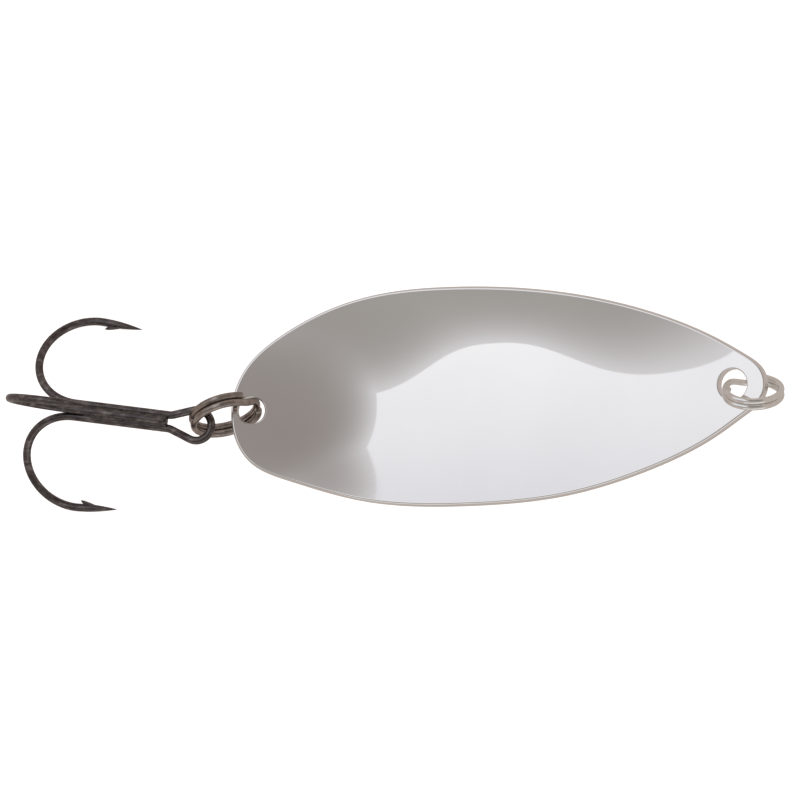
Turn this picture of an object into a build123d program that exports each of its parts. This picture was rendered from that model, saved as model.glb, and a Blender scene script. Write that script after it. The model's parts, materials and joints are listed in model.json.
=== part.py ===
from build123d import *

import math
import os

# Spoon lure lying on a table, cupped side up: a pressed metal blade, a split ring through each
# of its two holes, and a treble hook on the tail ring. Millimetres, +Z up, +X from tail to nose.

# --- driving dimensions ---
blade_x = 13.853  # the blade's centre, so that the whole lure is centred on the origin
blade_y = -0.608
blade_length = 75.0
blade_thickness = 1.5
edge_round = 0.3
hole_round = 0.2

tail_hole_x = -34.7
tail_hole_diameter = 3.6
nose_hole_x = 32.8
nose_hole_diameter = 4.2

tail_ring_radius = 4.5  # to the centre of the wire
tail_ring_wire = 1.0
tail_coil_start = 38.0  # angle at which the first turn starts, from the level diameter
nose_ring_radius = 3.78
nose_ring_wire = 0.85
nose_coil_start = 245.0
coil_gap = 0.04  # air between the two turns of a split ring
jog_angle = 50.0  # arc over which the wire steps from one turn to the other

hook_wire = 1.1
hook_shank = 13.7  # straight stretch between the bend and the fork
hook_bend_radius = 6.9
bend_angle = 185.6  # the arm closes a little towards the shank
eye_radius = 2.1  # to the centre of the wire
fork_angle = 19.5  # each leg leaves the shank at this angle to form the eye
fork_round = 2.0
pair_half_gap = 0.92  # the two legs of the pair lie this far from the shank's axis
pair_drop = 0.21  # the pair lies this far below the shank's axis
single_rise = 0.49  # the single wire lies this far above it, in the pair's groove
point_length = 4.6
point_tip_radius = 0.05
arm_straight = 0.7
barb_length = 1.9
barb_height = 0.6
barb_width = 0.4
barb_lean = 0.5
point_root_share = 0.7  # the barb is sunk into the point by this share of the wire's radius
braze_end_gap = 0.4
braze_bend_gap = 1.5
groove_share = 0.97  # height of the braze beside the pair, as a share of the wire's radius


# --- blade form ---
# Lift of the blade's centre line, as the factors of u^2 to u^5 for a half length of 1.
lift_factors = (0.1408, 0.015, -0.0217, -0.004)
cup_depth = 1.5  # at 15 mm from the centre line, half way along the blade
cup_half_width = 15.0
cup_fade = 0.8  # share of the cup that is gone at the two ends


def blade_lift(x):
    """Height of the blade's middle surface along its centre line: an S bend with a low belly."""
    u = 2 * x / blade_length
    second, third, fourth, fifth = lift_factors
    rise = second * u**2 + third * u**3 + fourth * u**4 + fifth * u**5
    return blade_thickness / 2 + blade_length / 2 * rise


def blade_cup(x, y):
    """Rise of the middle surface beside the centre line, deepest at the middle of the blade."""
    u = 2 * x / blade_length
    return cup_depth * (1 - cup_fade * u**2) * (y / cup_half_width) ** 2


blade_centre = Vector(blade_x, blade_y, 0)

# Middle surface of the blade, wider than its outline, given a thickness both ways.
sheet_columns = 31
sheet_rows = 17
sheet_half_length = blade_length / 2 + 2
sheet_half_width = 18
sheet_points = []
for column in range(sheet_columns):
    x = sheet_half_length * (2 * column / (sheet_columns - 1) - 1)
    strip = []
    for row in range(sheet_rows):
        y = sheet_half_width * (2 * row / (sheet_rows - 1) - 1)
        strip.append(blade_centre + Vector(x, y, blade_lift(x) + blade_cup(x, y)))
    sheet_points.append(strip)
middle_surface = Face.make_surface_from_array_of_points(sheet_points, tol=0.001, min_deg=3)
sheet = thicken(middle_surface, amount=blade_thickness / 2, both=True, mode=Mode.PRIVATE)

# Outline in plan, from the tail's extreme round the left edge to the nose and back.
outline_points = [
    (-blade_length / 2, -0.9),
    (-35.2, 6.3),
    (-30, 10.5),
    (-20, 14.75),
    (-7, 15.8),
    (8, 14.5),
    (20, 11.4),
    (30, 6.85),
    (34.5, 4.1),
    (36.9, 1.9),
    (blade_length / 2, -0.2),
    (36.9, -2.1),
    (34.5, -4.0),
    (30, -6.9),
    (20, -11.2),
    (8, -13.95),
    (-5, -14.6),
    (-20, -13.15),
    (-30, -9.9),
    (-35.2, -7.3),
]

with BuildPart() as spoon_blade:
    with BuildSketch(Plane(origin=blade_centre)) as outline:
        with BuildLine():
            Spline(*outline_points, periodic=True)
        make_face()
        with Locations((tail_hole_x, 0)):
            Circle(tail_hole_diameter / 2, mode=Mode.SUBTRACT)
        with Locations((nose_hole_x, 0)):
            Circle(nose_hole_diameter / 2, mode=Mode.SUBTRACT)
    extrude(amount=20)
    add(sheet, mode=Mode.INTERSECT)
    broad_faces = spoon_blade.faces().sort_by(SortBy.AREA)[-2:]
    fillet(broad_faces.edges().sort_by(SortBy.LENGTH)[-2:], radius=edge_round)
    broad_faces = spoon_blade.faces().sort_by(SortBy.AREA)[-2:]
    fillet(broad_faces.edges().sort_by(SortBy.LENGTH)[:-2], radius=hole_round)
spoon_blade.part.label = "spoon_blade"


# --- split rings ---
def ring_plane(centre, yaw, tilt):
    """Plane of a ring whose level diameter is turned by yaw about Z and which leans by tilt."""
    level = Vector(math.cos(math.radians(yaw)), math.sin(math.radians(yaw)), 0)
    across = Vector(-level.Y, level.X, 0)
    rising = across * math.cos(math.radians(tilt)) + Vector(0, 0, math.sin(math.radians(tilt)))
    return Plane(origin=centre, x_dir=level, z_dir=level.cross(rising))


def split_ring_path(plane, radius, wire, start):
    """Two flat turns side by side, joined by a jog, as the centre line of the ring's wire."""
    step = (wire + coil_gap) / 2
    turn = 360 - jog_angle
    with BuildLine(plane) as line:
        lower = CenterArc((0, 0, -step), radius, start, turn)
        upper = CenterArc((0, 0, step), radius, start, turn)
        middle_angle = math.radians(start - jog_angle / 2)
        middle = (radius * math.cos(middle_angle), radius * math.sin(middle_angle), 0)
        jog_points = [lower @ 1, plane.from_local_coords(Vector(*middle)), upper @ 0]
        Spline(*jog_points, tangents=[lower % 1, upper % 0])
    return line.wires()[0]


# The tail ring stands on edge round the web of blade behind its hole, held up by the hook's eye.
tail_web = blade_centre + Vector(-37.0, 0, blade_lift(tail_hole_x))
tail_ring_yaw = 17.0
tail_ring_tilt = 74.0
tail_ring_reach = 2.1  # from the web to the ring's centre
tail_ring_lift = 66.0  # angle of that line above the level diameter
tail_ring_shift = 0.78  # of the centre towards -Y
# The nose ring leans over the web of blade in front of its hole.
nose_web = blade_centre + Vector(35.9, 0, blade_lift(nose_hole_x))
nose_ring_yaw = -9.0
nose_ring_tilt = 121.0
nose_ring_reach = 1.0
nose_ring_lift = 105.0
nose_ring_shift = 0.75


def ring_centre(web, yaw, tilt, level_reach, rise, shift):
    """Centre of a ring, from the web of blade it hangs on."""
    frame = ring_plane(web, yaw, tilt)
    return web + frame.x_dir * level_reach + frame.y_dir * rise - Vector(0, shift, 0)


tail_ring_centre = ring_centre(
    tail_web,
    tail_ring_yaw,
    tail_ring_tilt,
    -tail_ring_reach * math.cos(math.radians(tail_ring_lift)),
    tail_ring_reach * math.sin(math.radians(tail_ring_lift)),
    tail_ring_shift,
)
nose_ring_centre = ring_centre(
    nose_web,
    nose_ring_yaw,
    nose_ring_tilt,
    nose_ring_reach * math.cos(math.radians(nose_ring_lift)),
    nose_ring_reach * math.sin(math.radians(nose_ring_lift)),
    nose_ring_shift,
)
tail_ring_plane = ring_plane(tail_ring_centre, tail_ring_yaw, tail_ring_tilt)
nose_ring_plane = ring_plane(nose_ring_centre, nose_ring_yaw, nose_ring_tilt)
tail_ring_path = split_ring_path(tail_ring_plane, tail_ring_radius, tail_ring_wire, tail_coil_start)
nose_ring_path = split_ring_path(nose_ring_plane, nose_ring_radius, nose_ring_wire, nose_coil_start)

with BuildPart() as tail_split_ring:
    with BuildSketch(Plane(origin=tail_ring_path @ 0, z_dir=tail_ring_path % 0)):
        Circle(tail_ring_wire / 2)
    sweep(path=tail_ring_path)
tail_split_ring.part.label = "tail_split_ring"

with BuildPart() as nose_split_ring:
    with BuildSketch(Plane(origin=nose_ring_path @ 0, z_dir=nose_ring_path % 0)):
        Circle(nose_ring_wire / 2)
    sweep(path=nose_ring_path)
nose_split_ring.part.label = "nose_split_ring"

# --- treble hook ---
# The hook rests on the two lower bends. In its own frame the eye's centre is the origin, the
# shank runs towards -X and the single hook points up.
wire_radius = hook_wire / 2
fork_rise = math.tan(math.radians(fork_angle))
fork_x = -(eye_radius / math.cos(math.radians(fork_angle)) - pair_half_gap) / fork_rise
bend_x = fork_x - hook_shank
hook_axis_z = hook_bend_radius + pair_drop + wire_radius

hook_yaw = -9.9
eye_z = hook_axis_z - pair_drop
eye_drop = eye_z - tail_ring_centre.Z
ring_rise = eye_drop / math.sin(math.radians(tail_ring_tilt))
ring_level = math.sqrt(tail_ring_radius**2 - ring_rise**2)
ring_in_eye = tail_ring_plane.from_local_coords(Vector(-ring_level, ring_rise, 0))
hook_x_dir = Vector(math.cos(math.radians(hook_yaw)), math.sin(math.radians(hook_yaw)), 0)
hook_y_dir = Vector(-hook_x_dir.Y, hook_x_dir.X, 0)
eye_ahead = 0.5  # the eye's centre lies past the ring's wire, towards the blade
eye_aside = -0.35
eye_centre = ring_in_eye + hook_x_dir * eye_ahead + hook_y_dir * eye_aside
hook_plane = Plane(origin=eye_centre + Vector(0, 0, pair_drop), x_dir=hook_x_dir, z_dir=(0, 0, 1))


def bend_point(shank_y, shank_z, outward, angle):
    """Point on a hook's bend, angle degrees after the shank, in the hook's frame."""
    reach = hook_bend_radius * (1 - math.cos(math.radians(angle)))
    back = hook_bend_radius * math.sin(math.radians(angle))
    return Vector(bend_x - back, shank_y + outward.Y * reach, shank_z + outward.Z * reach)


def local(point):
    """The same point as a tuple, which a line builder places in its own plane."""
    return (point.X, point.Y, point.Z)


def arm_direction(outward):
    """Direction of the straight arm at the end of the bend, towards the point."""
    past = math.radians(bend_angle - 180)
    return Vector(math.cos(past), -outward.Y * math.sin(past), -outward.Z * math.sin(past))


def hook_leg(side):
    """One leg of the pair, from the start of its point to the eye, in order."""
    outward = Vector(0, side * math.cos(math.radians(30)), -math.sin(math.radians(30)))
    shank_y = side * pair_half_gap
    arm_end = bend_point(shank_y, -pair_drop, outward, bend_angle)
    arm_tip = arm_end + arm_direction(outward) * arm_straight
    bend_start = bend_point(shank_y, -pair_drop, outward, 0)
    bend_middle = bend_point(shank_y, -pair_drop, outward, bend_angle / 2)
    half = math.radians(fork_angle / 2)
    reach = fork_round * math.tan(half)
    turn_start = Vector(fork_x - reach, shank_y, -pair_drop)
    turn_middle = turn_start + Vector(math.sin(half), side * (1 - math.cos(half)), 0) * fork_round
    leg = Vector(math.cos(2 * half), side * math.sin(2 * half), 0)
    turn_end = Vector(fork_x, shank_y, -pair_drop) + leg * reach
    eye_side = Vector(-math.sin(2 * half), side * math.cos(2 * half), 0)
    eye_start = eye_side * eye_radius - Vector(0, 0, pair_drop)
    Line(local(arm_tip), local(arm_end))
    ThreePointArc(local(arm_end), local(bend_middle), local(bend_start))
    Line(local(bend_start), local(turn_start))
    ThreePointArc(local(turn_start), local(turn_middle), local(turn_end))
    Line(local(turn_end), local(eye_start))
    return eye_start


with BuildLine(hook_plane) as pair_line:
    eye_start = hook_leg(1)
    eye_end = hook_leg(-1)
    ThreePointArc(local(eye_start), (eye_radius, 0, -pair_drop), local(eye_end))
pair_path = pair_line.wires()[0]

single_outward = Vector(0, 0, 1)
with BuildLine(hook_plane) as single_line:
    single_arm_end = bend_point(0, single_rise, single_outward, bend_angle)
    single_arm_tip = single_arm_end + arm_direction(single_outward) * arm_straight
    single_start = bend_point(0, single_rise, single_outward, 0)
    Line(local(single_arm_tip), local(single_arm_end))
    single_middle = bend_point(0, single_rise, single_outward, bend_angle / 2)
    ThreePointArc(local(single_arm_end), local(single_middle), local(single_start))
    Line(local(single_start), (fork_x - braze_end_gap, 0, single_rise))
single_path = single_line.wires()[0]


def point_planes(shank_y, shank_z, outward):
    """Planes at the root and the tip of a hook's point. Their x axis points at the shank."""
    along = arm_direction(outward)
    root = bend_point(shank_y, shank_z, outward, bend_angle) + along * arm_straight
    inward = along.cross(outward).cross(along) * -1
    to_row = hook_plane.from_local_coords
    root_row = to_row(root)
    along_row = to_row(root + along) - root_row
    inward_row = to_row(root + inward) - root_row
    root_plane = Plane(origin=root_row, x_dir=inward_row, z_dir=along_row)
    return root_plane, root_plane.offset(point_length)


def hook_point(shank_y, shank_z, outward):
    """Tapered point with a barb cut up from its inner side."""
    root_plane, tip_plane = point_planes(shank_y, shank_z, outward)
    with BuildSketch(root_plane) as root_circle:
        Circle(wire_radius)
    with BuildSketch(tip_plane) as tip_circle:
        Circle(point_tip_radius)
    loft([root_circle.sketch, tip_circle.sketch])
    barb_plane = Plane(origin=root_plane.origin, x_dir=root_plane.z_dir, z_dir=root_plane.y_dir)
    with BuildSketch(barb_plane) as barb_side:
        with BuildLine():
            inner = barb_plane.to_local_coords(root_plane.x_dir + root_plane.origin).Y
            Polyline(
                (0, inner * wire_radius * (1 - point_root_share)),
                (-barb_lean, inner * (wire_radius + barb_height)),
                (barb_length, inner * wire_radius * (1 - point_root_share)),
                close=True,
            )
        make_face()
    extrude(barb_side.sketch, amount=barb_width / 2, both=True)


with BuildPart() as hook_pair_wire:
    with BuildSketch(Plane(origin=pair_path @ 0, z_dir=pair_path % 0)):
        Circle(wire_radius)
    sweep(path=pair_path)
    for side in (1, -1):
        pair_outward = Vector(0, side * math.cos(math.radians(30)), -math.sin(math.radians(30)))
        hook_point(side * pair_half_gap, -pair_drop, pair_outward)
hook_pair_wire.part.label = "hook_pair_wire"

with BuildPart() as hook_single_wire:
    with BuildSketch(Plane(origin=single_path @ 0, z_dir=single_path % 0)):
        Circle(wire_radius)
    sweep(path=single_path)
    hook_point(0, single_rise, single_outward)
hook_single_wire.part.label = "hook_single_wire"

# Braze that fills the grooves between the three wires along the shank.
braze_start = hook_plane.from_local_coords(Vector(bend_x + braze_bend_gap, 0, 0))
braze_plane = Plane(origin=braze_start, x_dir=hook_plane.y_dir, z_dir=hook_plane.x_dir)
braze_length = fork_x - braze_end_gap - (bend_x + braze_bend_gap)
groove_low = wire_radius * groove_share
with BuildPart() as hook_braze:
    with BuildSketch(braze_plane) as braze_section:
        with BuildLine():
            Polyline(
                (-pair_half_gap, -pair_drop - groove_low),
                (-pair_half_gap, -pair_drop),
                (-pair_half_gap, -pair_drop + groove_low),
                (-wire_radius, single_rise + wire_radius / 2),
                (wire_radius, single_rise + wire_radius / 2),
                (pair_half_gap, -pair_drop + groove_low),
                (pair_half_gap, -pair_drop),
                (pair_half_gap, -pair_drop - groove_low),
                close=True,
            )
        make_face()
        with Locations((-pair_half_gap, -pair_drop), (pair_half_gap, -pair_drop), (0, single_rise)):
            Circle(wire_radius, mode=Mode.SUBTRACT)
    extrude(amount=braze_length)
hook_braze.part.label = "hook_braze"

os.makedirs("parts", exist_ok=True)
pieces = [spoon_blade, tail_split_ring, nose_split_ring, hook_pair_wire, hook_single_wire, hook_braze]
for piece in pieces:
    export_step(piece.part, f"parts/{piece.part.label}.step")

print("tail ring centre", tail_ring_centre, "axis", tail_ring_plane.z_dir, "web", tail_web)
print("nose ring centre", nose_ring_centre, "axis", nose_ring_plane.z_dir, "web", nose_web)
print("hook pivot", ring_in_eye)
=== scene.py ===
import json
import math

import bpy
import numpy as np
from mathutils import Matrix, Vector
from mathutils.geometry import delaunay_2d_cdt


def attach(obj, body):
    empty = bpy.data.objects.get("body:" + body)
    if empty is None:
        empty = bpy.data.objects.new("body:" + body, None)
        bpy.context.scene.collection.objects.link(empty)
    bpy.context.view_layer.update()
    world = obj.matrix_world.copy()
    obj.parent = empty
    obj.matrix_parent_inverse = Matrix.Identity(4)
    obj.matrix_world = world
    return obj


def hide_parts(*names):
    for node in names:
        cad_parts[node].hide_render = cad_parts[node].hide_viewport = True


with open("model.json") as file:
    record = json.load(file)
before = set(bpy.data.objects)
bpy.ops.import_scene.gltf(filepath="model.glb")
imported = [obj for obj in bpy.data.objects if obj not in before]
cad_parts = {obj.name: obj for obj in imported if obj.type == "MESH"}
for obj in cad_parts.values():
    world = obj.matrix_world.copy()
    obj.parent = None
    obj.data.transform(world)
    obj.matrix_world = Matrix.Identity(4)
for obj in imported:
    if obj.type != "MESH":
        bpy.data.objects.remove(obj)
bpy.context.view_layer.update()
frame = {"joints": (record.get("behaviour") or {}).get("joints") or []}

# A spoon lure on a pale table: a mirror-bright pressed blade, two split rings and a treble hook.
# Shapes are worked out in millimetres and written to meshes in metres.
MM = 0.001
joints = {joint["name"]: joint for joint in frame["joints"]}


def joint_vector(joint_name, key):
    """A joint's place (in millimetres) or axis, as an array."""
    values = np.array(joints[joint_name][key], float)
    return values / MM if key == "pos_m" else values


def unit(vector):
    return vector / np.linalg.norm(vector)


def smoothstep(t):
    t = np.clip(t, 0.0, 1.0)
    return t * t * (3 - 2 * t)


# --- meshes ---
rim_middle = 0.3  # place of a rounded rim's middle row, as a share of the rim
any_side = (0.31, 0.17, 0.93)  # a direction that no wire starts in
span_steps = 60  # points on the curve between two knots, before they are spaced evenly


def mesh_object(name, points, faces, normals=None):
    """A smooth-shaded object from points in millimetres."""
    mesh = bpy.data.meshes.new(name)
    mesh.from_pydata([tuple(p) for p in np.asarray(points) * MM], [], faces)
    mesh.validate()
    mesh.shade_smooth()
    if normals is not None:
        mesh.normals_split_custom_set_from_vertices([tuple(n) for n in normals])
    made = bpy.data.objects.new(name, mesh)
    bpy.context.scene.collection.objects.link(made)
    return made


def tube(name, line, radii, sides=28, rim=0.25, first_side=None):
    """A wire along the points of line, with square ends whose rims are rounded by a share of the radius."""
    line = np.asarray(line, float)
    radii = np.asarray(radii, float) * np.ones(len(line))
    forward = np.gradient(line, axis=0)
    forward /= np.linalg.norm(forward, axis=1)[:, None]
    side = np.cross(forward[0], any_side) if first_side is None else np.asarray(first_side, float)
    rings = []
    for step, (centre, ahead, radius) in enumerate(zip(line, forward, radii)):
        side = unit(side - ahead * side.dot(ahead))
        other = np.cross(ahead, side)
        rows = [(0.0, 1.0)]
        if step == 0:
            rows = [(0.0, 1 - rim), (rim * rim_middle, 1 - rim * rim_middle), (rim, 1.0)]
        if step == len(line) - 1:
            rows = [(-rim, 1.0), (-rim * rim_middle, 1 - rim * rim_middle), (0.0, 1 - rim)]
        for shift, share in rows:
            rings.append((centre + ahead * shift * radius, side, other, radius * share))
    turn = np.linspace(0, 2 * math.pi, sides, endpoint=False)
    points = []
    for centre, side, other, radius in rings:
        points.extend(centre + radius * (math.cos(a) * side + math.sin(a) * other) for a in turn)
    faces = []
    for row in range(len(rings) - 1):
        for k in range(sides):
            a, b = row * sides + k, row * sides + (k + 1) % sides
            faces.append((a, b, b + sides, a + sides))
    faces.append(tuple(reversed(range(sides))))
    last = (len(rings) - 1) * sides
    faces.append(tuple(range(last, last + sides)))
    return mesh_object(name, points, faces)


def cubic_loop(knots, count):
    """Evenly spaced points on the closed smooth curve (a periodic cubic spline) through the knots."""
    knots = np.asarray(knots, float)
    total = len(knots)
    ahead = np.roll(knots, -1, axis=0)
    span = np.linalg.norm(ahead - knots, axis=1)
    before = np.roll(span, 1)
    system = np.zeros((total, total))
    slope = (ahead - knots) / span[:, None]
    for k in range(total):
        system[k, k - 1] = before[k]
        system[k, k] = 2 * (before[k] + span[k])
        system[k, (k + 1) % total] = span[k]
    bend = np.linalg.solve(system, 6 * (slope - np.roll(slope, 1, axis=0)))
    fine = []
    for k in range(total):
        t = np.linspace(0, span[k], span_steps, endpoint=False)[:, None]
        after = (k + 1) % total
        rest = span[k] - t
        fine.append(
            (bend[k] * rest**3 + bend[after] * t**3) / (6 * span[k])
            + (knots[k] / span[k] - bend[k] * span[k] / 6) * rest
            + (knots[after] / span[k] - bend[after] * span[k] / 6) * t
        )
    fine = np.vstack(fine)
    run = np.concatenate([[0], np.cumsum(np.linalg.norm(np.roll(fine, -1, axis=0) - fine, axis=1))])
    fine = np.vstack([fine, fine[:1]])
    even = np.linspace(0, run[-1], count, endpoint=False)
    return np.column_stack([np.interp(even, run, fine[:, 0]), np.interp(even, run, fine[:, 1])])


# --- blade ---
blade_length = 75.0
blade_thickness = 1.5
edge_round = 0.3
rim_round = 0.2
tail_hole_x = -34.7
tail_hole_radius = 1.8
nose_hole_x = 32.8
nose_hole_radius = 2.1
tail_web_x = -37.0
holes = [(tail_hole_x, tail_hole_radius), (nose_hole_x, nose_hole_radius)]
cup_depth = 1.5
cup_half_width = 15.0
cup_end_loss = 0.8  # share of the cup that is gone at the two ends
blade_centre = joint_vector("tail_ring_swing", "pos_m")[:2] - (tail_web_x, 0)
lift_factors = (0.1408, 0.015, -0.0217, -0.004)
# The outline goes clockwise from the tail, seen from above.
blade_knots = [
    (-37.5, -0.9),
    (-35.2, 6.0),
    (-30, 10.35),
    (-20, 14.55),
    (-7, 15.68),
    (8, 14.27),
    (20, 11.15),
    (30, 6.75),
    (34.5, 4.0),
    (36.9, 1.9),
    (37.5, -0.2),
    (36.9, -2.1),
    (34.5, -4.0),
    (30, -6.7),
    (20, -10.8),
    (8, -13.6),
    (-5, -14.25),
    (-20, -12.9),
    (-30, -9.75),
    (-35.2, -7.0),
]
outline_count = 420
hole_counts = (72, 84)
edge_steps = 7
grid_spacing = 0.8
grid_half_x = 38.0
grid_half_y = 17.0
border_gap = 0.45 * grid_spacing
hole_gap = 0.2
in_hole_share = 0.98  # of a hole's rounding: a triangle whose middle is nearer than that lies in the hole
merge_distance = 1e-6


def blade_height(x, y):
    """Height of the blade's middle surface: an S bend along it, and a cup across it."""
    u = 2 * x / blade_length
    second, third, fourth, fifth = lift_factors
    lift = second * u**2 + third * u**3 + fourth * u**4 + fifth * u**5
    cup = cup_depth * (1 - cup_end_loss * u**2) * (y / cup_half_width) ** 2
    return blade_thickness / 2 + blade_length / 2 * lift + cup


def blade_normal(x, y):
    """Unit normal of the middle surface."""
    step = 0.01
    slope_x = (blade_height(x + step, y) - blade_height(x - step, y)) / (2 * step)
    slope_y = (blade_height(x, y + step) - blade_height(x, y - step)) / (2 * step)
    normal = np.column_stack([-slope_x, -slope_y, np.ones_like(slope_x)])
    return normal / np.linalg.norm(normal, axis=1)[:, None]


def circle_loop(x, radius, count):
    turn = np.linspace(0, 2 * math.pi, count, endpoint=False)
    return np.column_stack([x + radius * np.cos(turn), radius * np.sin(turn)])


def outward_of(loop, sign):
    """Unit directions in plan, square to a counter-clockwise loop: outwards, or inwards if sign is -1."""
    along = np.roll(loop, -1, axis=0) - np.roll(loop, 1, axis=0)
    away = np.column_stack([along[:, 1], -along[:, 0]])
    away /= np.linalg.norm(away, axis=1)[:, None]
    return away * sign


def edge_profile(radius):
    """Rows round an edge, from the top face to the bottom one: reach outwards, height and normal's angle."""
    half = blade_thickness / 2
    steps = np.linspace(0, math.pi / 2, edge_steps)
    upper = [(radius * math.sin(a), half - radius * (1 - math.cos(a)), a) for a in steps]
    lower = [(reach, -height, math.pi - angle) for reach, height, angle in reversed(upper)]
    return upper + lower


def blade_loops():
    """Borders of the flat face in plan, each with its directions away from the metal and its edge radius."""
    borders = [(cubic_loop(blade_knots, outline_count)[::-1], edge_round, 1)]
    for (hole_x, radius), count in zip(holes, hole_counts):
        borders.append((circle_loop(hole_x, radius, count), rim_round, -1))
    loops = []
    for loop, radius, sign in borders:
        away = outward_of(loop, sign)
        loops.append((loop - away * radius, away, radius))
    return loops


def within(points, border):
    """Which points are inside a closed border: a line from each towards +X crosses it an odd number of
    times."""
    crossings = np.zeros(len(points), int)
    for a, b in zip(border, np.roll(border, -1, axis=0)):
        spans = (a[1] > points[:, 1]) != (b[1] > points[:, 1])
        with np.errstate(divide="ignore", invalid="ignore"):
            cut = a[0] + (points[:, 1] - a[1]) / (b[1] - a[1]) * (b[0] - a[0])
        crossings += spans & (points[:, 0] < cut)
    return crossings % 2 == 1


def face_grid(border):
    """Points of a triangular grid inside the border, a little away from it and from the holes."""
    grid = []
    for number, y in enumerate(np.arange(-grid_half_y, grid_half_y, grid_spacing * math.sqrt(3) / 2)):
        for x in np.arange(-grid_half_x, grid_half_x, grid_spacing) + (number % 2) * grid_spacing / 2:
            grid.append((x, y))
    grid = np.array(grid)
    nearest = np.min(np.linalg.norm(grid[:, None, :] - border[None, ::2, :], axis=2), axis=1)
    keep = within(grid, border) & (nearest > border_gap)
    for hole_x, radius in holes:
        keep &= np.hypot(grid[:, 0] - hole_x, grid[:, 1]) > radius + rim_round + hole_gap
    return grid[keep]


def blade_plan(loops):
    """The flat face in plan: its points, its triangles and the point numbers of each border."""
    plan = np.vstack([loop for loop, away, radius in loops] + [face_grid(loops[0][0])])
    borders = []
    start = 0
    for loop, away, radius in loops:
        borders.append(list(range(start, start + len(loop))))
        start += len(loop)
    corners, _, cells, sources, *_ = delaunay_2d_cdt([Vector(p) for p in plan], [], borders, 1, merge_distance)
    number_of = {source: index for index, merged in enumerate(sources) for source in merged}
    plan = np.array([tuple(p) for p in corners])
    triangles = []
    for cell in cells:
        x, y = plan[list(cell)].mean(axis=0)
        if all(math.hypot(x - hole_x, y) >= radius + rim_round * in_hole_share for hole_x, radius in holes):
            triangles.append(tuple(cell))
    return plan, triangles, [[number_of[k] for k in border] for border in borders]


def make_blade():
    """Two faces, half the thickness above and below the middle surface, joined by rounded edges."""
    loops = blade_loops()
    plan, triangles, borders = blade_plan(loops)
    x, y = plan[:, 0], plan[:, 1]
    normal = blade_normal(x, y)
    middle = np.column_stack([x, y, blade_height(x, y)])
    half = blade_thickness / 2
    points = list(middle + normal * half) + list(middle - normal * half)
    normals = list(normal) + list(-normal)
    count = len(plan)
    faces = triangles + [tuple(count + k for k in reversed(t)) for t in triangles]
    for (loop, away, radius), border in zip(loops, borders):
        up = normal[border]
        flat = np.column_stack([away, np.zeros(len(away))])
        out = flat - up * np.sum(flat * up, axis=1)[:, None]
        out /= np.linalg.norm(out, axis=1)[:, None]
        rows = [border]
        for reach, height, angle in edge_profile(radius)[1:-1]:
            rows.append(list(range(len(points), len(points) + len(border))))
            points.extend(middle[border] + out * reach + up * height)
            normals.extend(up * math.cos(angle) + out * math.sin(angle))
        rows.append([count + k for k in border])
        for upper, lower in zip(rows, rows[1:]):
            for k in range(len(border)):
                after = (k + 1) % len(border)
                quad = (upper[k], lower[k], lower[after], upper[after])
                faces.append(quad if border is borders[0] else tuple(reversed(quad)))
    points = np.array(points)
    points[:, :2] += blade_centre
    return mesh_object("mirror_blade", points, faces, normals)


# --- split rings ---
coil_gap = 0.04
jog_angle = 50.0
coil_step = 2.5


def make_split_ring(name, joint_name, reach, lift, shift, radius, wire, start):
    """Two flat turns of wire side by side, with a jog between them and two cut ends.

    The centre is reach from the hinge, lift degrees up from the level diameter, then shift towards -Y.
    """
    normal = unit(joint_vector(joint_name, "axis"))
    level = unit(np.cross((0, 0, 1), normal))
    level = level if level[0] > 0 else -level
    rising = np.cross(normal, level)
    lift = math.radians(lift)
    centre = joint_vector(joint_name, "pos_m") + reach * (level * math.cos(lift) + rising * math.sin(lift))
    centre[1] -= shift
    jog_start = 360 - jog_angle
    angles = np.arange(0, jog_start + 360 + coil_step / 25, coil_step)
    aside = (wire + coil_gap) / 2
    along = -aside + 2 * aside * smoothstep((angles - jog_start) / jog_angle)
    turned = np.radians(angles + start)
    circle = radius * (np.outer(np.cos(turned), level) + np.outer(np.sin(turned), rising))
    line = centre + circle + np.outer(along, normal)
    return tube(name, line, wire / 2, first_side=normal)


# --- treble hook ---
hook_wire = 1.1
wire_radius = hook_wire / 2
hook_shank = 13.7
hook_bend_radius = 6.9
bend_angle = 185.6
eye_radius = 2.1
fork_angle = 19.5
fork_round = 2.0
pair_half_gap = 0.92
pair_drop = 0.21
single_rise = 0.49
pair_tilt = 30.0  # the pair's bends reach down from level, so that the three are 120 degrees apart
point_length = 4.6
arm_straight = 0.7
tip_radius = 0.035
taper_power = 1.7
single_gap = 0.4  # between the single wire's end and the fork
hook_yaw = math.radians(-9.9)
eye_ahead = 0.5
eye_aside = -0.35
point_steps = 30
bend_steps = 96
shank_steps = 30
fork_steps = 8
leg_steps = 12
eye_steps = 60
wire_sides = 24
wire_rim = 0.3
crease_angle = 42.0
braze_start = 1.5
braze_run_in = 1.6
braze_run_out = 0.5
braze_steps = 90
braze_middle = 0.08
braze_ripples = ((0.035, 2.1, 0), (0.025, 5.3, 1), (0.018, 11.9, 2))  # size, rate and phase
leg_turn = math.radians(fork_angle)
fork_x = -(eye_radius / math.cos(leg_turn) - pair_half_gap) / math.tan(leg_turn)
bend_x = fork_x - hook_shank
hook_x_dir = np.array([math.cos(hook_yaw), math.sin(hook_yaw), 0.0])
hook_y_dir = np.array([-hook_x_dir[1], hook_x_dir[0], 0.0])
up_dir = np.array([0.0, 0.0, 1.0])
eye_offset = hook_x_dir * eye_ahead + hook_y_dir * eye_aside + up_dir * pair_drop
hook_origin = joint_vector("hook_swing", "pos_m") + eye_offset


def to_row(points):
    """Points of the hook's own frame (eye at the origin, shank towards -X) in the row frame."""
    points = np.atleast_2d(points)
    return hook_origin + points @ np.array([hook_x_dir, hook_y_dir, up_dir])


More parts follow.
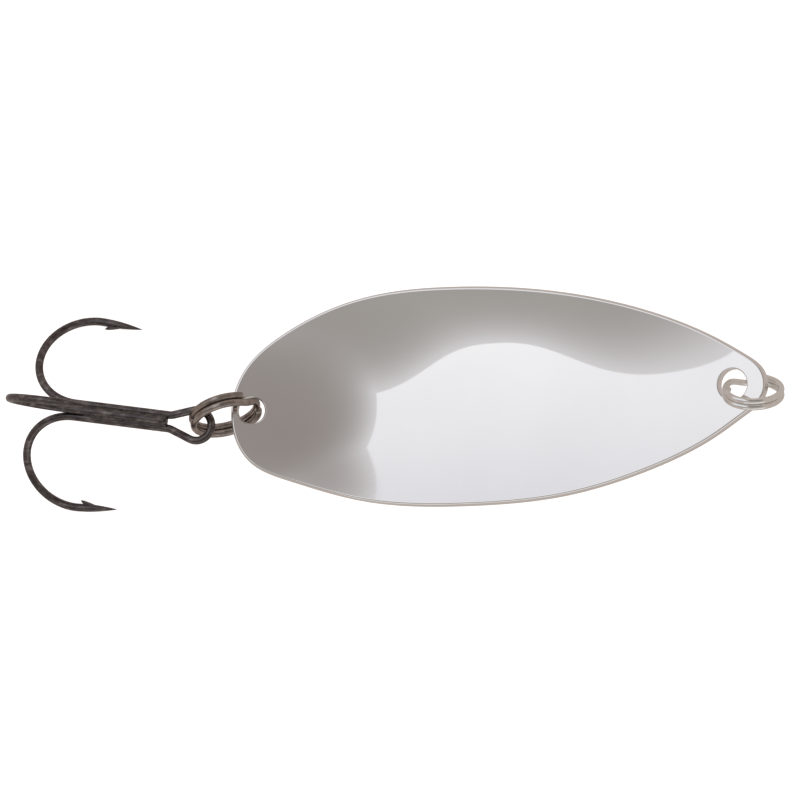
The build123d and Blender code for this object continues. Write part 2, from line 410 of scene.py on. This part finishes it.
def arc(centre, first, second, radius, start, end, count):
    """Points on an arc in the plane of two unit vectors, angles in degrees."""
    turn = np.radians(np.linspace(start, end, count))[:, None]
    return np.asarray(centre) + radius * (np.cos(turn) * first + np.sin(turn) * second)


def hook_arm(root, outward):
    """From the tip of the point, down the arm and round the bend to the shank's wire at root.

    Also gives the point's root, where its barb is, and its direction.
    """
    back = np.array([-1.0, 0, 0])
    bend_centre = root + outward * hook_bend_radius
    bend = arc(bend_centre, -outward, back, hook_bend_radius, bend_angle, 0, bend_steps)
    ahead = unit(bend[0] - bend[1])
    point = np.linspace(point_length + arm_straight, arm_straight, point_steps)
    straight = bend[0] + np.outer(np.append(point, arm_straight / 2), ahead)
    return np.vstack([straight, bend]), straight[point_steps - 1], ahead


def arm_radii(count):
    """The needle point swells from a sharp tip to the full wire."""
    share = np.linspace(0, 1, point_steps)
    taper = tip_radius + (wire_radius - tip_radius) * (1 - (1 - share) ** taper_power)
    return np.concatenate([taper, np.full(count - point_steps, wire_radius)])


def make_barb(name, root, ahead, inward):
    """A spur cut up from the inner side of the point, thin at its edge and leaning towards the bend."""
    side = np.cross(ahead, inward)
    # Each corner's place along the point, its height above the wire's middle and its half thickness.
    profile = [
        (1.9, 0.05, 0.2),
        (1.3, 0.42, 0.3),
        (0.6, 0.74, 0.26),
        (0.0, 1.0, 0.17),
        (-0.5, 1.14, 0.03),
        (-0.38, 0.9, 0.13),
        (-0.12, 0.66, 0.22),
        (0.05, 0.2, 0.3),
    ]
    count = len(profile)
    points = []
    for sign in (1, -1):
        for along, height, width in profile:
            points.append(root + ahead * along + inward * height + side * sign * width)
    faces = [tuple(range(count)), tuple(reversed(range(count, 2 * count)))]
    for k in range(count):
        after = (k + 1) % count
        faces.append((after, k, count + k, count + after))
    made = mesh_object(name, to_row(points), faces)
    made.data.update()
    return made


def join_in(whole, extra):
    """Fuses extra into whole, so that the two make one skin."""
    cut = whole.modifiers.new("fuse", "BOOLEAN")
    cut.operation = "UNION"
    cut.solver = "EXACT"
    cut.object = extra
    bpy.context.view_layer.update()
    fused = bpy.data.meshes.new_from_object(whole.evaluated_get(bpy.context.evaluated_depsgraph_get()))
    whole.modifiers.clear()
    whole.data = fused
    bpy.data.objects.remove(extra)


def sharpen(made, angle):
    """Smooth shading that breaks at edges sharper than angle, in degrees."""
    made.data.shade_smooth()
    made.data.set_sharp_from_angle(angle=math.radians(angle))


def make_pair_wire():
    """One wire: down from a point, along the shank, round the eye, and back to the second point."""
    legs = []
    barbs = []
    tilt = math.radians(pair_tilt)
    for side in (1, -1):
        outward = np.array([0, side * math.cos(tilt), -math.sin(tilt)])
        root = np.array([bend_x, side * pair_half_gap, -pair_drop])
        arm, point_root, ahead = hook_arm(root, outward)
        barbs.append((point_root, ahead, unit(-outward + ahead * outward.dot(ahead))))
        reach = fork_round * math.tan(leg_turn / 2)
        along = np.array([1.0, 0, 0])
        across = np.array([0.0, side, 0])
        turn_start = np.array([fork_x - reach, side * pair_half_gap, -pair_drop])
        shank = np.linspace(root, turn_start, shank_steps)[1:-1]
        turn = arc(turn_start + across * fork_round, -across, along, fork_round, 0, fork_angle, fork_steps)
        tangent = eye_radius * (across * math.cos(leg_turn) - along * math.sin(leg_turn)) - up_dir * pair_drop
        straight = np.linspace(turn[-1], tangent, leg_steps)[1:-1]
        legs.append(np.vstack([arm, shank, turn, straight]))
    half_turn = 90 + fork_angle
    x_dir, y_dir = np.array([1.0, 0, 0]), np.array([0.0, 1, 0])
    eye = arc((0, 0, -pair_drop), x_dir, y_dir, eye_radius, half_turn, -half_turn, eye_steps)
    line = np.vstack([legs[0], eye, legs[1][::-1]])
    eye_radii = np.full(len(eye), wire_radius)
    radii = np.concatenate([arm_radii(len(legs[0])), eye_radii, arm_radii(len(legs[1]))[::-1]])
    made = tube("twin_hook_wire", to_row(line), radii, wire_sides, wire_rim)
    for number, barb in enumerate(barbs):
        join_in(made, make_barb(f"barb_{number}", *barb))
    sharpen(made, crease_angle)
    return made


def make_single_wire():
    """The third hook's wire, which ends on the pair just behind the fork."""
    root = np.array([bend_x, 0, single_rise])
    arm, point_root, ahead = hook_arm(root, up_dir)
    end = np.array([fork_x - single_gap, 0, single_rise])
    line = np.vstack([arm, np.linspace(root, end, shank_steps)[1:]])
    made = tube("third_hook_wire", to_row(line), arm_radii(len(line)), wire_sides, wire_rim)
    join_in(made, make_barb("barb_2", point_root, ahead, unit(-up_dir + ahead * up_dir.dot(ahead))))
    sharpen(made, crease_angle)
    return made


def make_braze():
    """Braze run into the grooves between the three shanks, uneven along its length and thin at both ends."""
    first, last = bend_x + braze_start, fork_x - single_gap
    stations = np.linspace(first, last, braze_steps)
    fill = smoothstep((stations - first) / braze_run_in) * smoothstep((last - stations) / braze_run_out)
    ripple = sum(size * np.sin(stations * rate + phase) for size, rate, phase in braze_ripples)
    level = np.clip(0.55 + 0.45 * fill + ripple, 0.3, 1.0)
    # Half of the section, from the groove below up to the single wire's flank.
    half = [
        (0.5, -pair_drop - 0.42),
        (pair_half_gap, -pair_drop - 0.5),
        (pair_half_gap + 0.02, -pair_drop + 0.5),
        (0.72, 0.5),
        (0.5, 0.72),
    ]
    outline = [(-y, z) for y, z in half[1:]] + half[::-1] + [(-y, z) for y, z in half[:1]]
    sides = len(outline)
    points = []
    for x, share in zip(stations, level):
        narrow = 0.9 + 0.1 * share
        points.extend((x, y * narrow, braze_middle + (z - braze_middle) * share) for y, z in outline)
    faces = []
    for row in range(braze_steps - 1):
        for k in range(sides):
            a, b = row * sides + k, row * sides + (k + 1) % sides
            faces.append((a, a + sides, b + sides, b))
    faces.append(tuple(range(sides)))
    faces.append(tuple(reversed(range((braze_steps - 1) * sides, braze_steps * sides))))
    return mesh_object("shank_braze", to_row(points), faces)


# --- materials ---
def material(name):
    made = bpy.data.materials.new(name)
    made.use_nodes = True
    return made, made.node_tree.nodes, made.node_tree.links, made.node_tree.nodes["Principled BSDF"]


def noise(nodes, links, scale, detail, stretch=(1, 1, 1)):
    """Noise in the object's own space, stretched along its axes. The scale is per metre."""
    place = nodes.new("ShaderNodeTexCoord")
    mapping = nodes.new("ShaderNodeMapping")
    mapping.inputs["Scale"].default_value = stretch
    texture = nodes.new("ShaderNodeTexNoise")
    texture.inputs["Scale"].default_value = scale
    texture.inputs["Detail"].default_value = detail
    links.new(place.outputs["Object"], mapping.inputs["Vector"])
    links.new(mapping.outputs["Vector"], texture.inputs["Vector"])
    return texture


def ramp(nodes, links, source, stops):
    """Colour ramp from a texture's factor, with stops of (place, colour)."""
    made = nodes.new("ShaderNodeValToRGB")
    elements = made.color_ramp.elements
    while len(elements) > len(stops):
        elements.remove(elements[-1])
    while len(elements) < len(stops):
        elements.new(1.0)
    for element, (place, colour) in zip(elements, stops):
        element.position = place
        element.color = (*colour, 1.0)
    links.new(source.outputs["Fac"], made.inputs["Fac"])
    return made


def bump(nodes, links, shader, source, strength, distance):
    made = nodes.new("ShaderNodeBump")
    made.inputs["Strength"].default_value = strength
    made.inputs["Distance"].default_value = distance
    links.new(source.outputs["Fac"], made.inputs["Height"])
    links.new(made.outputs["Normal"], shader.inputs["Normal"])


def grey(value):
    return (value, value, value)


def blade_material():
    """Mirror nickel: faint patches of haze in its colour, and hairline polishing marks in its gloss."""
    made, nodes, links, shader = material("mirror nickel")
    shader.inputs["Metallic"].default_value = 1.0
    haze = noise(nodes, links, 90, 3)
    tint = ramp(nodes, links, haze, [(0.3, (0.875, 0.87, 0.865)), (0.7, (0.9, 0.895, 0.89))])
    links.new(tint.outputs["Color"], shader.inputs["Base Color"])
    marks = noise(nodes, links, 600, 4, stretch=(1.0, 0.05, 1.0))
    gloss = ramp(nodes, links, marks, [(0.42, grey(0.02)), (0.62, grey(0.03)), (0.74, grey(0.05))])
    links.new(gloss.outputs["Color"], shader.inputs["Roughness"])
    return made


def bright_ring_material():
    """Nickel wire with patches that are a little duller and warmer."""
    made, nodes, links, shader = material("bright nickel wire")
    shader.inputs["Metallic"].default_value = 1.0
    patches = noise(nodes, links, 700, 3)
    tint = ramp(nodes, links, patches, [(0.3, (0.86, 0.85, 0.82)), (0.7, (0.93, 0.925, 0.91))])
    links.new(tint.outputs["Color"], shader.inputs["Base Color"])
    gloss = ramp(nodes, links, patches, [(0.35, grey(0.12)), (0.7, grey(0.22))])
    links.new(gloss.outputs["Color"], shader.inputs["Roughness"])
    return made


def smoked_ring_material():
    """Smoked nickel wire, brown in its dark patches and rubbed paler and glossier between them."""
    made, nodes, links, shader = material("smoked nickel wire")
    shader.inputs["Metallic"].default_value = 1.0
    patches = noise(nodes, links, 900, 5)
    tint = ramp(
        nodes,
        links,
        patches,
        [(0.3, (0.24, 0.205, 0.185)), (0.55, (0.37, 0.325, 0.295)), (0.75, (0.49, 0.45, 0.42))],
    )
    links.new(tint.outputs["Color"], shader.inputs["Base Color"])
    gloss = ramp(nodes, links, patches, [(0.3, grey(0.3)), (0.7, grey(0.2))])
    links.new(gloss.outputs["Color"], shader.inputs["Roughness"])
    return made


def hook_material():
    """Black nickel: near black, with paler rubbed flecks and a slightly grained surface."""
    made, nodes, links, shader = material("black nickel")
    shader.inputs["Metallic"].default_value = 1.0
    flecks = noise(nodes, links, 1500, 6, stretch=(0.5, 1.0, 1.0))
    tint = ramp(
        nodes,
        links,
        flecks,
        [(0.35, (0.085, 0.074, 0.075)), (0.55, (0.135, 0.12, 0.119)), (0.7, (0.27, 0.245, 0.237))],
    )
    links.new(tint.outputs["Color"], shader.inputs["Base Color"])
    gloss = ramp(nodes, links, flecks, [(0.35, grey(0.22)), (0.7, grey(0.36))])
    links.new(gloss.outputs["Color"], shader.inputs["Roughness"])
    bump(nodes, links, shader, flecks, 0.25, 0.00004)
    return made


def braze_material():
    """Dark plated braze with a coarse, dull grain."""
    made, nodes, links, shader = material("plated braze")
    shader.inputs["Metallic"].default_value = 1.0
    grain = noise(nodes, links, 1300, 5)
    tint = ramp(nodes, links, grain, [(0.35, (0.05, 0.045, 0.045)), (0.7, (0.16, 0.145, 0.14))])
    links.new(tint.outputs["Color"], shader.inputs["Base Color"])
    shader.inputs["Roughness"].default_value = 0.38
    bump(nodes, links, shader, grain, 0.5, 0.00008)
    return made


# --- stage ---
box_height = 900.0
wall_height = 902.0
room_colour = np.array([0.5, 0.44, 0.405])
spill_colour = np.array([0.7, 0.69, 0.7])
near_wall_colour = np.array([0.375, 0.355, 0.335])
far_wall_colour = np.array([0.26, 0.222, 0.208])
wall_fade_y = -200.0
wall_fade_length = 500.0
table_half = 2500.0
# The softbox in plan: its long side towards the nose is square at first and then slants away, and its near
# edge bellies towards -Y. The wall that takes its spilt light is a little further up.
box_side_x = -20.0
side_square_until = 190.0
side_end_y = 640.0
side_slant = 1 / 3
box_near_y = 75.0
belly_x = -200.0
belly_depth = 157.0
belly_spread_nose = 137.0
belly_spread_tail = 170.0
belly_end_x = -800.0
near_edge_count = 120
box_far = 1500.0
box_dim_from = -80.0
box_dim_to = 520.0
# How far the light spills: past the long side, less so along its slant, and past the near edge, further
# where it is tailwards of the belly.
side_spill = 20.0
slant_spill = 10.0
slant_fade_length = 200.0
near_spill = 62.0
near_spill_gain = 30.0
spill_power = 1.3


def side_edge(y):
    """X of the box's long side at a given Y."""
    return box_side_x - side_slant * np.clip(y - side_square_until, 0, side_end_y - side_square_until)


def belly(x):
    """Share of the belly's depth at a given X. It falls off faster towards the nose."""
    nose_side = np.maximum(x - belly_x, 0) / belly_spread_nose
    tail_side = np.maximum(belly_x - x, 0) / belly_spread_tail
    return np.exp(-(nose_side**3) - tail_side**2)


def near_edge(x):
    """Y of the box's near edge at a given X."""
    return box_near_y - belly_depth * belly(x)


def glowing(name, points, faces):
    """A part of the studio's light, which the camera itself doesn't see, and its empty material."""
    made = mesh_object(name, points, faces)
    look = bpy.data.materials.new(name)
    look.use_nodes = True
    nodes, links = look.node_tree.nodes, look.node_tree.links
    nodes.clear()
    emit = nodes.new("ShaderNodeEmission")
    out = nodes.new("ShaderNodeOutputMaterial")
    links.new(emit.outputs["Emission"], out.inputs["Surface"])
    made.data.materials.append(look)
    made.visible_camera = False
    return made, nodes, links, emit


def make_softbox():
    """The bright front of the box, which dims slowly away from its near side."""
    near_x = np.linspace(box_side_x, belly_end_x, near_edge_count)
    corners = [(side_edge(y), y) for y in (box_far, side_end_y, side_square_until)]
    corners += list(zip(near_x, near_edge(near_x))) + [(-box_far, box_near_y), (-box_far, box_far)]
    points = [(x, y, box_height) for x, y in corners]
    made, nodes, links, emit = glowing("softbox", points, [tuple(range(len(points)))])
    place = nodes.new("ShaderNodeTexCoord")
    split = nodes.new("ShaderNodeSeparateXYZ")
    across = nodes.new("ShaderNodeMapRange")
    across.inputs["From Min"].default_value = box_dim_from * MM
    across.inputs["From Max"].default_value = box_dim_to * MM
    shade = nodes.new("ShaderNodeValToRGB")
    shade.color_ramp.elements[0].color = (0.985, 0.98, 1.0, 1)
    shade.color_ramp.elements[1].color = (0.76, 0.755, 0.8, 1)
    links.new(place.outputs["Object"], split.inputs["Vector"])
    links.new(split.outputs["Y"], across.inputs["Value"])
    links.new(across.outputs["Result"], shade.inputs["Fac"])
    links.new(shade.outputs["Color"], emit.inputs["Color"])


def make_low_card(name, centre, across, up, width, height, colour):
    """A low glowing card beside the lure, which only its edges and round wires mirror."""
    half_across = unit(np.array(across, float)) * width / 2
    half_up = unit(np.array(up, float)) * height / 2
    corners = [centre + a * half_across + b * half_up for a, b in ((-1, -1), (1, -1), (1, 1), (-1, 1))]
    made, nodes, links, emit = glowing(name, corners, [(0, 1, 2, 3)])
    emit.inputs["Color"].default_value = (*colour, 1)


def make_spill():
    """Light spilt round the box on to the wall behind it, fading into the room's warm grey."""
    # Grid lines are close together where the light changes fast.
    xs = np.concatenate([np.arange(-1200, -200, 10.0), np.arange(-200, 120, 2.5), np.arange(120, 900, 20.0)])
    ys = np.concatenate([np.arange(-900, -250, 25.0), np.arange(-250, 120, 5.0), np.arange(120, 1000, 20.0)])
    grid_x, grid_y = (grid.ravel() for grid in np.meshgrid(xs, ys))
    points = np.column_stack([grid_x, grid_y, np.full(grid_x.size, wall_height)])
    columns = len(xs)
    starts = [row * columns + column for row in range(len(ys) - 1) for column in range(columns - 1)]
    faces = [(a, a + 1, a + columns + 1, a + columns) for a in starts]
    made, nodes, links, emit = glowing("light_spill", points, faces)
    side_reach = np.interp(grid_y - side_square_until, (0, slant_fade_length), (side_spill, slant_spill))
    near_reach = near_spill + near_spill_gain * np.where(grid_x < belly_x, 1 - belly(grid_x), 0)
    past_side = np.maximum(grid_x - side_edge(grid_y), 0) / side_reach
    past_near = np.maximum(near_edge(grid_x) - grid_y, 0) / near_reach
    spill = np.exp(-np.hypot(past_side, past_near) ** spill_power)[:, None]
    fade = np.clip((grid_y - wall_fade_y) / wall_fade_length, 0, 1)[:, None]
    room = (1 - fade) * near_wall_colour + fade * far_wall_colour
    colours = np.ones((len(points), 4))
    colours[:, :3] = room + (spill_colour - room) * spill
    made.data.attributes.new("glow", "FLOAT_COLOR", "POINT").data.foreach_set("color", colours.ravel())
    glow = nodes.new("ShaderNodeAttribute")
    glow.attribute_name = "glow"
    links.new(glow.outputs["Color"], emit.inputs["Color"])


def make_stage():
    """The table, the room's colour and the studio's lights."""
    corners = [(a * table_half, b * table_half, 0) for a, b in ((-1, -1), (1, -1), (1, 1), (-1, 1))]
    floor = mesh_object("table", corners, [(0, 1, 2, 3)])
    paper, nodes, links, shader = material("pale table")
    shader.inputs["Base Color"].default_value = (0.93, 0.93, 0.93, 1)
    shader.inputs["Roughness"].default_value = 1.0
    shader.inputs["Specular IOR Level"].default_value = 0.0
    shader.inputs["Emission Color"].default_value = (1, 1, 1, 1)
    shader.inputs["Emission Strength"].default_value = 0.8
    floor.data.materials.append(paper)
    floor.visible_glossy = False
    world = bpy.data.worlds.new("studio")
    bpy.context.scene.world = world
    world.use_nodes = True
    world.node_tree.nodes["Background"].inputs["Color"].default_value = (*room_colour, 1)
    world.node_tree.nodes["Background"].inputs["Strength"].default_value = 1.0
    make_softbox()
    make_spill()
    make_low_card("front_card", (150, -620, 170), (1, 0, 0), (0, 0.25, 1), 900, 300, (0.95, 0.96, 0.97))


view_from = (0.24, -0.10, 0.965)
camera_distance = 1.5
view_width = 0.1087
camera_roll = math.radians(3.1)
aim_height = 0.003
aim_left = 0.01375
aim_down = 0.0002
sensor_width = 36.0


def make_camera():
    """The camera looks down on the cupped side from the nose end, with the blade's axis a little uphill."""
    toward = Vector(view_from).normalized()
    tail_to_nose = Vector((1, 0, 0)) - toward * toward.x
    tail_to_nose.normalize()
    square = toward.cross(tail_to_nose)
    right = tail_to_nose * math.cos(camera_roll) - square * math.sin(camera_roll)
    up = tail_to_nose * math.sin(camera_roll) + square * math.cos(camera_roll)
    middle = Vector((blade_centre[0] * MM, blade_centre[1] * MM, aim_height))
    aim = middle - right * aim_left - up * aim_down
    data = bpy.data.cameras.new("camera")
    data.sensor_width = sensor_width
    data.lens = sensor_width * camera_distance / view_width
    data.clip_start = 0.01
    data.clip_end = 20
    camera = bpy.data.objects.new("camera", data)
    bpy.context.scene.collection.objects.link(camera)
    basis = Matrix((right, up, toward)).transposed().to_4x4()
    camera.matrix_world = Matrix.Translation(aim + toward * camera_distance) @ basis
    bpy.context.scene.camera = camera


def dress(made, body, node, look):
    """Puts a piece on its body in place of its CAD node, with its material."""
    made.data.materials.clear()
    made.data.materials.append(look)
    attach(made, body)
    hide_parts(node)


# --- the scene ---
make_camera()
make_stage()
hook_look = hook_material()
dress(make_blade(), "blade", "spoon_blade", blade_material())
nose_ring = make_split_ring(
    "bright_split_ring", "nose_ring_swing", reach=1.0, lift=105, shift=0.75, radius=3.78, wire=0.85, start=245
)
dress(nose_ring, "nose_ring", "nose_split_ring", bright_ring_material())
tail_ring = make_split_ring(
    "smoked_split_ring", "tail_ring_swing", reach=2.1, lift=114, shift=0.78, radius=4.5, wire=1.0, start=38
)
dress(tail_ring, "tail_ring", "tail_split_ring", smoked_ring_material())
dress(make_pair_wire(), "treble_hook", "hook_pair_wire", hook_look)
dress(make_single_wire(), "treble_hook", "hook_single_wire", hook_look)
dress(make_braze(), "treble_hook", "hook_braze", braze_material())

bpy.context.scene.view_settings.view_transform = "Standard"
